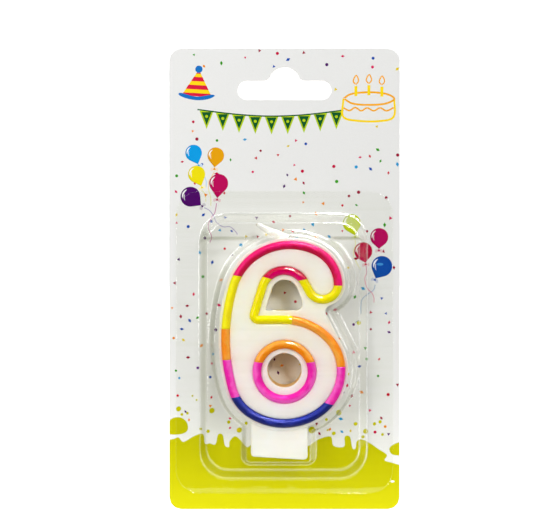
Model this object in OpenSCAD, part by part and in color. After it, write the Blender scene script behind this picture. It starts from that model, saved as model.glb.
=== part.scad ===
// Numeral-six birthday candle in a hanging blister card.
// Millimetres, +Z up, +X right, the pack faces -Y. The origin is the middle of the hanging slot, on the
// card's back face. Shapes are drawn face-on (x right, y up, z towards the viewer) from the card's middle,
// and stand() puts them upright.

/* [Card] */
// Width of the card
card_w = 78; // [77:0.5:84]
// Height of the card
card_h = 156; // [152:1:164]
// Thickness of the card
card_t = 0.5; // [0.3:0.05:0.7]
// Radius of the card's corners
card_r = 4; // [2:0.5:6]
// Height of the hanging slot above the card's middle
slot_up = 64; // [62:0.5:65]
// Width of the hanging slot
slot_w = 32; // [28:0.5:34]
// Height of the slot's straight band
slot_h = 6.75; // [6:0.25:7.5]
// Radius of the hump on the slot
hump_r = 5.5; // [5:0.25:6]
// Height of the hump's centre above the band's middle
hump_up = 2.4; // [2:0.1:2.8]
// Radius of the fillets at the hump's foot
slot_fillet = 2; // [1:0.25:2.5]

/* [Candle] */
// Air gap between the card and the candle's back
back_gap = 0.3; // [0.2:0.05:0.4]
// Thickness of the wax slab
slab_t = 8.5; // [8:0.1:8.6]
// Wax outside the bead's centre line
rim = 2.4; // [2:0.1:2.5]
// Height of the raised face inside the bead
pad_t = 0.6; // [0.3:0.1:0.8]
// Radius of the half-round bead
bead_r = 1.45; // [1.2:0.05:1.45]
// Left edge of the tab that goes into the cake
tab_left = -11.1; // [-11.5:0.1:-10.5]
// Width of the tab
tab_w = 18.7; // [17:0.1:19]
// Tab's lower left end, below the card's middle
tab_low = 58.5; // [56:0.5:58.5]
// Slope of the tab's cut end, in degrees
tab_slope = 3.4; // [0:0.2:3.4]
// How far the tab's face lies behind the slab's
tab_step = 0.7; // [0.4:0.1:1.5]

/* [Numeral outline] */
// Left end of the shelf under the counter, from the card's middle
shelf_start = [-8.54, -13.42];
// Radii of the rim's arcs, clockwise from the shelf to the hook
rim_radii = [20, 15, 17, 20.5, 14, 60, 18.5, 20, 12.5, 5];
// Turn of each of those arcs, in degrees
rim_turns = [46, 44, 61, 61, 42, 33, 40, 59, 61, 154];
// Straight between the hook and the top of the counter
hook_straight = 3.5; // [3:0.1:4]
// Radius of the bead over the counter
counter_r = 7.5; // [7:0.1:7.8]
// Turn of the bead over the counter, in degrees
counter_turn = 134; // [132:1:136]
// Radius of the bead's corner at the shelf
corner_r = 1.5; // [1.5:0.1:2]
// Radius of the notch between the hook and the bowl
notch_r = 2; // [1.9:0.1:2.4]
// Direction of the notch's centre from the hook's, in degrees
notch_angle = -72; // [-76:1:-68]
// Middle of the ring, from the card's middle
ring_at = [0, -30.5];
// Radius of the ring bead's centre line
ring_r = 9.05; // [8.8:0.05:9.3]
// Radius of the hole in the ring
ring_hole_r = 5.6; // [5:0.1:6]
// Height of the ring hole's middle above the ring's
ring_hole_up = 0.5; // [0:0.1:0.8]
// Lower left corner of the counter's hole, from the card's middle
hole_at = [-6.3, -10.4];
// Radii of the counter hole's lower right corner and of its top
hole_radii = [2.4, 4.4];
// Straight right side of the counter hole
hole_side = 4.4; // [4:0.1:4.6]
// Turn of its lower right corner, in degrees
hole_turn = 112; // [108:1:116]

/* [Bead colours] */
// Heights of the colour changes down the rim's left side, from the card's middle
left_cuts = [1.0, -16.4, -26.5, -38.7];
// Heights of the changes on the rim's right: at the hook, then twice on the bowl
right_cuts = [-2.2, -28.8, -40.9];
// Heights of the changes at the left and right ends of the counter's top
counter_cuts = [0.3, -0.3];
// Where yellow meets orange on the shelf, right of the card's middle
shelf_cut = 2.5; // [1:0.1:4]
// Height of the change on the ring
ring_cut = -27.3; // [-30:0.1:-25]

/* [Wick] */
// Where the wick leaves the candle, right of the card's middle
wick_x = -0.5; // [-1:0.1:1]
// Depth of the cotton core in the wax
core_buried = 12; // [6:1:14]
// Radius of the cotton core
core_r = 0.55; // [0.4:0.05:0.6]
// How far the core bends over to the left, in degrees
wick_turn = 62; // [60:1:66]
// Length of the wax coat from the knee of the bend to its end
coat_length = 9.8; // [8:0.1:9.8]
// Radii of the wax coat at its foot and at its end
coat_radii = [2.1, 0.8];
// Bare core past the end of the coat
core_bare = 0.4; // [0.2:0.1:0.4]
// Height of the knee above the coat's seat
knee_rise = 0.5; // [0.4:0.05:0.8]
// Depth of the coat's flat seat below the top of the slab
seat_depth = 0.45; // [0.4:0.05:0.6]

/* [Blister] */
// Thickness of the film
film = 0.3; // [0.25:0.05:0.35]
// Flange on the card: left, bottom, right and top, from the card's middle
flange_edges = [-36.8, -72.6, 36.8, 29.8];
// Radius of the flange's corners
flange_r = 8; // [6:0.5:10]
// Foot of the tray's walls: left, bottom, right and top
tray_foot = [-28.7, -67.5, 28.0, 22.2];
// Edge of the tray's flat front: left, bottom, right and top
tray_edge = [-26.0, -63.5, 25.0, 18.8];
// Radii of the tray's corners at the foot and at the front
tray_radii = [9.5, 7.5];
// Front of the tray, from the card's back
tray_front = 5.5; // [5.2:0.1:6]
// Lower edge of the raised strip over the wick, from the card's middle
strip_low = 13; // [12:0.1:13]
// Front of the raised strip
strip_front = 8.5; // [8.2:0.1:9]
// Front of the dome over the numeral
dome_front = 11.6; // [11.6:0.1:12.5]
// Outside of the dome's wall beyond the edge of the wax slab
dome_margin = 1.7; // [1.6:0.1:1.8]
// Dome over the tab: left, bottom, right and top
tab_dome = [-13.2, -60.6, 9.3, -40.0];

/* [Hidden] */
$fn = 64;
outline_step = 5;    // degrees of arc between an outline's points
far = 60;            // beyond every piece of the candle
bead_gap = 0.05;     // between the raised face and the bead's foot
core_gap = 0.05;     // round the core
knuckle = 0.05;      // the core's knee is this much thicker
coat_back = 1.3;     // the coat starts this far behind the knee
bead_sides = 10;     // sides of the bead's half-round section
seat_gap = 0.15;     // round the coat's foot
tab_corner_r = 1.2;
tab_root = 44;       // the tab starts inside the slab, this far below the card's middle
tab_dome_r = 2;
slab_back = card_t + back_gap;
slab_front = slab_back + slab_t;
slab_middle = slab_back + slab_t / 2;

magenta = "#e0066a";
yellow = "#f5e903";
orange = "#f08c0a";
pink = "#e528a8";
navy = "#122a7a";
white_wax = "#f2e8df";

// ---- Chains: an outline or a bead is a list of [straight, radius, turn] steps; left turns are positive ----

function ahead(h) = [cos(h), sin(h)];
function left_of(h) = [-sin(h), cos(h)];
function arc_start(p, h, step) = p + step[0] * ahead(h);
function arc_centre(p, h, step) = arc_start(p, h, step) + sign(step[2]) * step[1] * left_of(h);
function step_end(p, h, step) = arc_centre(p, h, step) - sign(step[2]) * step[1] * left_of(h + step[2]);

// Place and heading at which each step begins
function places(steps, start, heading = 0) = [
    for (i = 0, p = start, h = heading; i < len(steps);
         p = step_end(p, h, steps[i]), h = h + steps[i][2], i = i + 1) [p, h]
];

// Where a chain from the origin ends
function chain_end(steps) =
    let (last = len(steps) - 1, at = places(steps, [0, 0])[last])
    step_end(at[0], at[1], steps[last]);

// Lengths of a first straight along +X and a last one along heading that close a chain with this end
function closing(end, heading) =
    let (last = -end[1] / sin(heading))
    [-end[0] - last * cos(heading), last];

// The same chain moved to its left
function shifted(steps, by) = [for (s = steps) [s[0], s[1] - sign(s[2]) * by, s[2]]];

// Places and headings along a chain after its start, with each arc in steps of about outline_step
function chain_frames(steps, start, heading = 0) =
    let (at = places(steps, start, heading))
    [
        for (i = [0:len(steps) - 1])
            let (h = at[i][1], s = steps[i], c = arc_centre(at[i][0], h, s),
                 n = ceil(abs(s[2]) / outline_step), first = s[0] > 0 ? 0 : 1)
            for (k = [first:n])
                let (turned = h + s[2] * k / n)
                [c - sign(s[2]) * s[1] * left_of(turned), turned]
    ];

function chain_points(steps, start, heading = 0) = [for (f = chain_frames(steps, start, heading)) f[0]];

function angle_of(v) = atan2(v[1], v[0]);
function sum_of(v, i = 0) = i < len(v) ? v[i] + sum_of(v, i + 1) : 0;

// ---- The numeral's line ----

bowl = 1;                       // the rim's step down the bowl's upper right
hook = len(rim_radii) - 1;      // the rim's last step
counter = hook + 1;             // the bead over the counter
corner = hook + 2;              // down the counter's left side and round its corner
top_step = 7;                   // the rim's step over the top
side_heading = counter_turn - sum_of(rim_turns);

// The whole bead, with its two free straights: the shelf and the counter's left side
function numeral(straights) = [
    for (i = [0:hook]) [i == 0 ? straights[0] : 0, rim_radii[i], -rim_turns[i]],
    [hook_straight, counter_r, counter_turn],
    [straights[1], corner_r, -360 - side_heading]
];

bead = numeral(closing(chain_end(numeral([0, 0])), side_heading));
bead_at = places(bead, shelf_start);
bowl_centre = arc_centre(bead_at[bowl][0], bead_at[bowl][1], bead[bowl]);
hook_centre = arc_centre(bead_at[hook][0], bead_at[hook][1], bead[hook]);
top_centre = arc_centre(bead_at[top_step][0], bead_at[top_step][1], bead[top_step]);

// The notch is a circle that touches the wax round the hook, and a straight runs from it onto the bowl
notch_centre = hook_centre + (rim_radii[hook] + rim + notch_r) * ahead(notch_angle);
notch_to_bowl = bowl_centre - notch_centre;
straight_heading = angle_of(notch_to_bowl) + asin((rim_radii[bowl] + rim + notch_r) / norm(notch_to_bowl));

// The silhouette: from the straight's foot on the bowl round to the hook, and back through the notch
silhouette_steps = [
    [0, rim_radii[bowl], bead_at[bowl + 1][1] - straight_heading],
    for (i = [bowl + 1:hook - 1]) bead[i],
    [0, rim_radii[hook], notch_angle - 90 - 360 - bead_at[hook][1]],
    [0, notch_r + rim, straight_heading + 90 - notch_angle]
];

seat_y = top_centre[1] + rim_radii[top_step] + rim - seat_depth;
knee = [wick_x, seat_y + knee_rise];
wick_heading = 90 + wick_turn;

// The hole in the counter: along its bottom edge, up its right side and over its top
function counter_hole(bottom) = [
    [bottom, hole_radii[0], hole_turn],
    [hole_side, hole_radii[1], 720 + side_heading - hole_turn]
];

hole_bottom = closing(chain_end(counter_hole(0)), side_heading)[0];

// ---- Shared shapes ----

// From the drawing, which starts at the card's middle, to the upright pack with its origin at the slot
module stand() {
    rotate([90, 0, 0]) translate([0, -slot_up, 0]) children();
}

// Rectangle with rounded corners, from its [left, bottom, right, top] edges moved inwards by inset
module rounded(edges, r, inset = 0) {
    q = r - inset;
    left = edges[0] + inset;
    low = edges[1] + inset;
    right = edges[2] - inset;
    high = edges[3] - inset;
    translate([left + q, low]) square([right - left - 2 * q, high - low]);
    translate([left, low + q]) square([right - left, high - low - 2 * q]);
    for (x = [left + q, right - q], y = [low + q, high - q])
        translate([x, y]) circle(q);
}

// The numeral's outline, by outside the bead's centre line, with its notch and no holes
module silhouette(by) {
    start = bowl_centre + (rim_radii[bowl] + by) * left_of(straight_heading);
    polygon(concat([start], chain_points(shifted(silhouette_steps, by), start, straight_heading)));
}

module half_disc(r) {
    intersection() {
        circle(r);
        translate([-r, 0]) square([2 * r, r]);
    }
}

// A window on the drawing: [left, bottom, right, top]
function window(low, high, left = -far, right = far) = [left, low, right, high];

// The part of its children that lies in one of the windows
module inside(windows) {
    intersection() {
        children();
        for (w = windows)
            translate([w[0], w[1], -bead_r]) cube([w[2] - w[0], w[3] - w[1], 3 * bead_r]);
    }
}

// The bead over a list of steps that follow each other, kept inside the windows. Its half-round section
// is swept along the steps as rings of points.
module bead_run(steps, windows) {
    at = bead_at[steps[0]];
    chain = [for (i = steps) bead[i]];
    frames = concat([at], chain_frames(chain, at[0], at[1]));
    section = [for (k = [0:bead_sides]) bead_r * ahead(180 * k / bead_sides)];
    n = len(section);
    points = [
        for (f = frames, q = section)
            [f[0][0] + q[0] * left_of(f[1])[0], f[0][1] + q[0] * left_of(f[1])[1], q[1]]
    ];
    faces = [
        [for (k = [0:n - 1]) k],
        for (i = [0:len(frames) - 2], k = [0:n - 1])
            [n * i + k, n * (i + 1) + k, n * (i + 1) + (k + 1) % n, n * i + (k + 1) % n],
        [for (k = [n - 1:-1:0]) n * (len(frames) - 1) + k]
    ];
    stand() translate([0, 0, slab_front]) inside(windows) polyhedron(points, faces);
}

// The ring's bead between two heights
module ring_run(low, high) {
    stand() translate([0, 0, slab_front])
        inside([window(low, high)])
            translate(ring_at) rotate_extrude() translate([ring_r, 0]) half_disc(bead_r);
}

// Along the wick's lean, starting at the knee
module lean() {
    translate(knee) rotate([90, 0, wick_heading + 90]) children();
}

// The core's path as a solid of radius r: up the wax, round a knuckle at the knee and out to the left
module core_rod(r) {
    translate(knee - [0, core_buried]) rotate([-90, 0, 0]) cylinder(r = r, h = core_buried);
    translate(knee) sphere(r + knuckle);
    lean() cylinder(r = r, h = coat_length + core_bare);
}

// ---- Card and blister ----

module slot() {
    band_end = (slot_w - slot_h) / 2;
    fillet_y = slot_h / 2 + slot_fillet;
    reach = hump_r + slot_fillet;
    fillet_x = sqrt(reach * reach - (fillet_y - hump_up) * (fillet_y - hump_up));
    for (x = [-band_end, band_end]) translate([x, 0]) circle(slot_h / 2);
    translate([-band_end, -slot_h / 2]) square([2 * band_end, slot_h]);
    translate([0, hump_up]) circle(hump_r);
    for (side = [-1, 1])
        difference() {
            polygon([[0, 0], [side * fillet_x, 0], [side * fillet_x, fillet_y], [0, hump_up]]);
            translate([side * fillet_x, fillet_y]) circle(slot_fillet);
        }
}

module backing_card() {
    color("white") stand() linear_extrude(card_t) difference() {
        rounded([-card_w / 2, -card_h / 2, card_w / 2, card_h / 2], card_r);
        translate([0, slot_up]) slot();
    }
}

// Everything that rises from the flange, moved inwards by inset
module blister_rise(inset) {
    low = card_t - inset;
    thin = 0.01;
    hull() {
        translate([0, 0, low]) linear_extrude(thin) rounded(tray_foot, tray_radii[0], inset);
        translate([0, 0, tray_front - inset - thin]) linear_extrude(thin)
            rounded(tray_edge, tray_radii[1], inset);
    }
    intersection() {
        hull() {
            translate([0, 0, low]) linear_extrude(thin) rounded(tray_foot, tray_radii[0], inset);
            translate([0, 0, strip_front - inset - thin]) linear_extrude(thin)
                rounded(tray_edge, tray_radii[1], inset);
        }
        translate([-far, strip_low + inset, low]) cube([2 * far, far, strip_front]);
    }
    translate([0, 0, low]) linear_extrude(dome_front - card_t) silhouette(rim + dome_margin - inset);
    translate([0, 0, low]) linear_extrude(dome_front - card_t) rounded(tab_dome, tab_dome_r, inset);
}

module blister_shell() {
    color("lightblue", 0.3) stand() difference() {
        union() {
            translate([0, 0, card_t]) linear_extrude(film) rounded(flange_edges, flange_r);
            blister_rise(0);
        }
        blister_rise(film);
    }
}

// ---- Candle ----

module tab() {
    left_turn = 90 - tab_slope;
    left_cut = tab_corner_r * tan(left_turn / 2);
    right_cut = tab_corner_r * tan((180 - left_turn) / 2);
    start = [tab_left, -tab_root];
    steps = [
        [tab_low - tab_root - left_cut, tab_corner_r, left_turn],
        [tab_w / cos(tab_slope) - left_cut - right_cut, tab_corner_r, 180 - left_turn]
    ];
    linear_extrude(slab_t - tab_step)
        polygon(concat([start], chain_points(steps, start, -90), [start + [tab_w, 0]]));
}

module raised_face() {
    inset = bead_r + bead_gap;
    linear_extrude(pad_t) difference() {
        polygon(chain_points(shifted(bead, -inset), shelf_start - [0, inset]));
        translate(ring_at) circle(ring_r + inset);
    }
}

module wax_body() {
    color(white_wax) stand() difference() {
        union() {
            translate([0, 0, slab_back]) linear_extrude(slab_t) silhouette(rim);
            translate([0, 0, slab_back]) tab();
            translate([0, 0, slab_front]) raised_face();
        }
        translate([ring_at[0], ring_at[1] + ring_hole_up, 0]) cylinder(r = ring_hole_r, h = 2 * slab_t);
        linear_extrude(2 * slab_t)
            polygon(concat([hole_at], chain_points(counter_hole(hole_bottom), hole_at)));
        translate([wick_x, seat_y, slab_middle]) rotate([-90, 0, 0])
            cylinder(r = coat_radii[0] + seat_gap, h = 2 * seat_depth);
        translate([0, 0, slab_middle]) core_rod(core_r + core_gap);
    }
}

module wick_core() {
    color("ivory") stand() translate([0, 0, slab_middle]) core_rod(core_r);
}

module wick_wax() {
    color(white_wax) stand() translate([0, 0, slab_middle]) difference() {
        lean() translate([0, 0, -coat_back])
            cylinder(r1 = coat_radii[0], r2 = coat_radii[1], h = coat_back + coat_length);
        translate([-far, seat_y - far, -far]) cube([2 * far, far, 2 * far]);
        core_rod(core_r + core_gap);
    }
}

module rim_top_magenta() {
    color(magenta) bead_run([6:hook], [
        window(left_cuts[0], far, right = 0), window(right_cuts[0], far, left = -1)
    ]);
}

module counter_top_magenta() {
    color(magenta) bead_run([counter], [
        window(counter_cuts[0], far, right = 0), window(counter_cuts[1], far, left = -1)
    ]);
}

module rim_left_yellow() {
    color(yellow) bead_run([5, 6], [window(left_cuts[1], left_cuts[0])]);
}

module hook_yellow() {
    color(yellow) bead_run([hook, counter], [
        window(-far, counter_cuts[1], left = 0, right = hook_centre[0] + 1),
        window(-far, right_cuts[0], left = hook_centre[0])
    ]);
}

module counter_yellow() {
    color(yellow) bead_run([counter, corner, 0], [window(-far, counter_cuts[0], right = shelf_cut)]);
}

module rim_left_orange() {
    color(orange) bead_run([5], [window(left_cuts[2], left_cuts[1])]);
}

module bowl_orange() {
    color(orange) bead_run([0, 1], [window(right_cuts[1], far, left = shelf_cut)]);
}

module ring_top_orange() {
    color(orange) ring_run(ring_cut, far);
}

module rim_left_pink() {
    color(pink) bead_run([4, 5], [window(left_cuts[3], left_cuts[2])]);
}

module rim_right_pink() {
    color(pink) bead_run([1, 2], [window(right_cuts[2], right_cuts[1])]);
}

module ring_bottom_pink() {
    color(pink) ring_run(-far, ring_cut);
}

module rim_bottom_navy() {
    color(navy) bead_run([2:4], [
        window(-far, left_cuts[3], right = 0), window(-far, right_cuts[2], left = -1)
    ]);
}

backing_card();
blister_shell();
wax_body();
wick_core();
wick_wax();
rim_top_magenta();
counter_top_magenta();
rim_left_yellow();
hook_yellow();
counter_yellow();
rim_left_orange();
bowl_orange();
ring_top_orange();
rim_left_pink();
rim_right_pink();
ring_bottom_pink();
rim_bottom_navy();
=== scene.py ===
"""Looks of the numeral candle in its blister card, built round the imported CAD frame.

Shapes are drawn face-on in millimetres from the card's middle: x to the right, y up, and d forwards from the
card's back. place() turns them into the row frame's metres.
"""
import math
import random

import bmesh
import bpy
import numpy as np
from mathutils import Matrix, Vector, kdtree, noise
from mathutils.geometry import delaunay_2d_cdt


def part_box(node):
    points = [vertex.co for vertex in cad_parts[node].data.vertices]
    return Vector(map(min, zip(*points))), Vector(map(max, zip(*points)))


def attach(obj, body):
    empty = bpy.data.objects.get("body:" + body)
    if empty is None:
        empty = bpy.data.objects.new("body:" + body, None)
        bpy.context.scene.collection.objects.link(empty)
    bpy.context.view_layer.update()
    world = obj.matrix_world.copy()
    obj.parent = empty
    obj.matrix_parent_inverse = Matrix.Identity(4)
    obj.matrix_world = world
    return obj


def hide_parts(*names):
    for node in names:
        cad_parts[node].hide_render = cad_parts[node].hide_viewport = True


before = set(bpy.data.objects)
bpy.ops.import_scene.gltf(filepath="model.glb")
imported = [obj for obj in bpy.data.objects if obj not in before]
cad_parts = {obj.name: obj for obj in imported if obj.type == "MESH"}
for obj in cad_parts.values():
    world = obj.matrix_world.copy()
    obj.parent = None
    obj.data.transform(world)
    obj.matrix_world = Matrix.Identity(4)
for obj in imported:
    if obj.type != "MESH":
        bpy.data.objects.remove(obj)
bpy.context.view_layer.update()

MM = 0.001
rng = random.Random(11)

# ---- Sizes shared with part.scad, in millimetres ----

CARD_T = 0.5
CARD_R = 4.0
SLOT_UP = 64.0
SLOT_W, SLOT_H = 32.0, 6.75
HUMP_R, HUMP_UP, SLOT_FILLET = 5.5, 2.4, 2.0
SLAB_FRONT = 9.3
RIM = 2.4
BEAD_R = 1.45
SHELF_START = (-8.54, -13.42)
RIM_RADII = (20, 15, 17, 20.5, 14, 60, 18.5, 20, 12.5, 5)
RIM_TURNS = (46, 44, 61, 61, 42, 33, 40, 59, 61, 154)
HOOK_STRAIGHT, COUNTER_R, COUNTER_TURN, CORNER_R = 3.5, 7.5, 134, 1.5
NOTCH_R, NOTCH_ANGLE = 2.0, -72
RING_AT, RING_R = (0, -30.5), 9.05
LEFT_CUTS = (1.0, -16.4, -26.5, -38.7)
RIGHT_CUTS = (-2.2, -28.8, -40.9)
COUNTER_CUTS = (0.3, -0.3)
SHELF_CUT = 2.5
RING_CUT = -27.3
FILM = 0.28
FLANGE, FLANGE_R = (-36.8, -72.6, 36.8, 29.8), 8
TRAY_FOOT, TRAY_EDGE = (-28.7, -67.5, 28.0, 22.2), (-26.0, -63.5, 25.0, 18.8)
TRAY_RADII = (9.5, 7.5)
TRAY_FRONT, STRIP_LOW, STRIP_FRONT, DOME_FRONT = 5.5, 13, 8.5, 11.6
TAB_DOME, TAB_DOME_R = (-13.2, -60.6, 9.3, -40.0), 2

low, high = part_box("backing_card")
MIDDLE = Vector(((low.x + high.x) / 2, high.y, (low.z + high.z) / 2))
CARD_W = (high.x - low.x) / MM
CARD_H = (high.z - low.z) / MM


def place(points):
    """Row-frame metres from rows of x, y, d in millimetres."""
    p = np.asarray(points, float).reshape(-1, 3)
    return np.stack([MIDDLE.x + p[:, 0] * MM, MIDDLE.y - p[:, 2] * MM, MIDDLE.z + p[:, 1] * MM], 1)


def drawn(points):
    """Rows of x, y, d in millimetres from row-frame metres."""
    p = np.asarray(points, float).reshape(-1, 3)
    return np.stack([(p[:, 0] - MIDDLE.x) / MM, (p[:, 2] - MIDDLE.z) / MM, (MIDDLE.y - p[:, 1]) / MM], 1)


def srgb(r, g, b):
    """Linear colour from 0 to 255 values."""
    return tuple(((c / 255 + 0.055) / 1.055) ** 2.4 if c > 10.3 else c / 255 / 12.92 for c in (r, g, b))


# ---- Camera ----

CAMERA_AWAY = 0.280
LENS = 55.8
SHIFT = (-18 / 533, 14.5 / 533)

camera_data = bpy.data.cameras.new("camera")
camera = bpy.data.objects.new("camera", camera_data)
bpy.context.scene.collection.objects.link(camera)
camera.location = place([(0, 0, CARD_T)])[0] + np.array([0, -CAMERA_AWAY, 0])
camera.rotation_euler = (math.pi / 2, 0, 0)
camera_data.lens = LENS
camera_data.sensor_width = 36
camera_data.shift_x, camera_data.shift_y = SHIFT
camera_data.clip_start = 0.01
bpy.context.scene.camera = camera

# ---- Objects and meshes ----


def new_object(name, verts, faces, smooth=True):
    mesh = bpy.data.meshes.new(name)
    mesh.from_pydata([tuple(v) for v in verts], [], [tuple(f) for f in faces])
    mesh.validate()
    mesh.update()
    if smooth:
        mesh.shade_smooth()
    obj = bpy.data.objects.new(name, mesh)
    bpy.context.scene.collection.objects.link(obj)
    return obj


def apply_modifiers(obj):
    """Gives the object the mesh that its modifiers make, and removes them."""
    bpy.context.view_layer.update()
    shown = obj.evaluated_get(bpy.context.evaluated_depsgraph_get())
    mesh = bpy.data.meshes.new_from_object(shown)
    obj.modifiers.clear()
    obj.data = mesh
    mesh.name = obj.name
    return obj


def outward(obj):
    """Turns every face's normal out of the mesh."""
    bm = bmesh.new()
    bm.from_mesh(obj.data)
    bmesh.ops.recalc_face_normals(bm, faces=bm.faces)
    bm.to_mesh(obj.data)
    bm.free()


def from_node(node, name, voxel, smoothing):
    """A softened copy of a CAD node: remeshed to voxel millimetres, then smoothed."""
    obj = bpy.data.objects.new(name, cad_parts[node].data.copy())
    bpy.context.scene.collection.objects.link(obj)
    obj.data.materials.clear()
    bm = bmesh.new()
    bm.from_mesh(obj.data)
    bmesh.ops.remove_doubles(bm, verts=bm.verts, dist=1e-6)
    bm.to_mesh(obj.data)
    bm.free()
    remesh = obj.modifiers.new("remesh", "REMESH")
    remesh.mode = "VOXEL"
    remesh.voxel_size = voxel * MM
    soften = obj.modifiers.new("soften", "SMOOTH")
    soften.factor = 0.5
    soften.iterations = smoothing
    apply_modifiers(obj)
    obj.data.shade_smooth()
    return obj


def point_vectors(obj, field="co"):
    found = np.empty(len(obj.data.vertices) * 3)
    obj.data.vertices.foreach_get(field, found)
    return found.reshape(-1, 3)


def swell(obj, by):
    """Moves each point out along its normal by its millimetres."""
    co = point_vectors(obj) + point_vectors(obj, "normal") * by[:, None] * MM
    obj.data.vertices.foreach_set("co", co.astype(np.float32).ravel())
    obj.data.update()


def point_values(obj, name, values, kind="FLOAT"):
    attribute = obj.data.attributes.new(name, kind, "POINT")
    field = "color" if kind == "FLOAT_COLOR" else "value"
    attribute.data.foreach_set(field, np.asarray(values, np.float32).ravel())


def tube_faces(rows, sides):
    """Quads along a tube whose points lie in rows, and its two closed ends."""
    faces = [
        (sides * k + j, sides * (k + 1) + j, sides * (k + 1) + (j + 1) % sides, sides * k + (j + 1) % sides)
        for k in range(rows - 1) for j in range(sides)
    ]
    return faces + [tuple(range(sides - 1, -1, -1)), tuple(sides * (rows - 1) + j for j in range(sides))]


def waves(points, size, seed=0.0):
    """Smooth noise from -1 to 1 at rows of millimetres, with features of about size."""
    return np.array([noise.noise(Vector(p) / size + Vector((seed, seed, seed))) for p in points])


# ---- The numeral's line: steps of [straight, radius, turn], left turns positive ----


def ahead(h):
    """Unit direction at a heading in degrees, anticlockwise from the right."""
    return np.array([math.cos(math.radians(h)), math.sin(math.radians(h))])


def left_of(h):
    return np.array([-math.sin(math.radians(h)), math.cos(math.radians(h))])


def walk(steps, start, heading=0.0):
    """Place, heading and arc centre of each step, with the end's place and heading last."""
    p, h, found = np.array(start, float), heading, []
    for straight, radius, turn in steps:
        centre = p + straight * ahead(h) + math.copysign(radius, turn) * left_of(h)
        found.append((p, h, centre))
        p = centre - math.copysign(radius, turn) * left_of(h + turn)
        h += turn
    found.append((p, h, None))
    return found


def closing(end, heading):
    """Lengths of the first and last straights that close a line which ends at end with that heading."""
    last = -end[1] / math.sin(math.radians(heading))
    return -end[0] - last * math.cos(math.radians(heading)), last


def line_along(steps, start, heading, spacing, by=0.0):
    """Points, left normals and step numbers along the line, moved left by by."""
    points, normals, numbers = [], [], []
    for i, ((straight, radius, turn), (p, h, centre)) in enumerate(zip(steps, walk(steps, start, heading))):
        n = max(1, round(straight / spacing)) if straight > 1e-6 else 0
        points += [p + straight * k / n * ahead(h) + by * left_of(h) for k in range(n)]
        normals += [left_of(h)] * n
        side = math.copysign(1, turn)
        n = max(2, round(abs(math.radians(turn)) * radius / spacing))
        lefts = [left_of(h + turn * k / n) for k in range(n)]
        points += [centre - side * (radius - side * by) * left for left in lefts]
        normals += lefts
        numbers += [i] * (len(points) - len(numbers))
    return np.array(points), np.array(normals), np.array(numbers)


BOWL, HOOK = 1, len(RIM_RADII) - 1
COUNTER, CORNER = HOOK + 1, HOOK + 2
SIDE_HEADING = COUNTER_TURN - sum(RIM_TURNS)


def numeral(straights):
    """Steps of the bead's line from the shelf, round the bowl, the left side, the hook and the counter."""
    rim = [[0, radius, -turn] for radius, turn in zip(RIM_RADII, RIM_TURNS)]
    rim[0][0] = straights[0]
    return rim + [[HOOK_STRAIGHT, COUNTER_R, COUNTER_TURN], [straights[1], CORNER_R, -360 - SIDE_HEADING]]


bead_steps = numeral(closing(walk(numeral((0, 0)), (0, 0))[-1][0], SIDE_HEADING))
bead_at = walk(bead_steps, SHELF_START)


def wax_edge(spacing):
    """Points and outward normals round the wax slab's outline."""
    bowl_centre, hook_centre = bead_at[BOWL][2], bead_at[HOOK][2]
    notch = hook_centre + (RIM_RADII[HOOK] + RIM + NOTCH_R) * ahead(NOTCH_ANGLE)
    to_bowl = bowl_centre - notch
    reach = RIM_RADII[BOWL] + RIM + NOTCH_R
    across = math.asin(reach / np.linalg.norm(to_bowl))
    heading = math.degrees(math.atan2(to_bowl[1], to_bowl[0]) + across)
    steps = [[0, RIM_RADII[BOWL], bead_at[BOWL + 1][1] - heading]] + bead_steps[BOWL + 1:HOOK]
    steps += [
        [0, RIM_RADII[HOOK], NOTCH_ANGLE - 90 - 360 - bead_at[HOOK][1]],
        [0, NOTCH_R + RIM, heading + 90 - NOTCH_ANGLE],
    ]
    start = bowl_centre + RIM_RADII[BOWL] * left_of(heading)
    points, normals, _ = line_along(steps, start, heading, spacing, RIM)
    gap = points[0] - points[-1]
    n = max(1, round(np.linalg.norm(gap) / spacing))
    fill = [points[-1] + gap * k / n for k in range(1, n)]
    return np.array(list(points) + fill), np.array(list(normals) + [left_of(heading)] * len(fill))


# ---- Bead pieces: a rounded section swept along the line ----

SPACING = 0.35          # between the bead's sections
SECTION_SIDES = 14
SINK = 0.12             # the bead's foot lies this deep in the wax
CROWN = 1.35            # over 1 makes the section's sides hollower than a half-round's
END_LEAN_LENGTH = 4.0   # a cut's lean fades out over this length
UNEVEN_WIDTH, UNEVEN_HEIGHT = 0.02, 0.025


def bead_section():
    """Sideways and forwards offsets of the bead's rounded section, from foot to foot over its top."""
    turns = np.linspace(0, math.pi, SECTION_SIDES + 1)
    across = np.cos(turns) * BEAD_R
    up = np.sin(turns) ** CROWN * BEAD_R
    across = np.concatenate([[across[0]], across, [across[-1]]])
    up = np.concatenate([[-SINK], up, [-SINK]])
    return across, up


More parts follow.
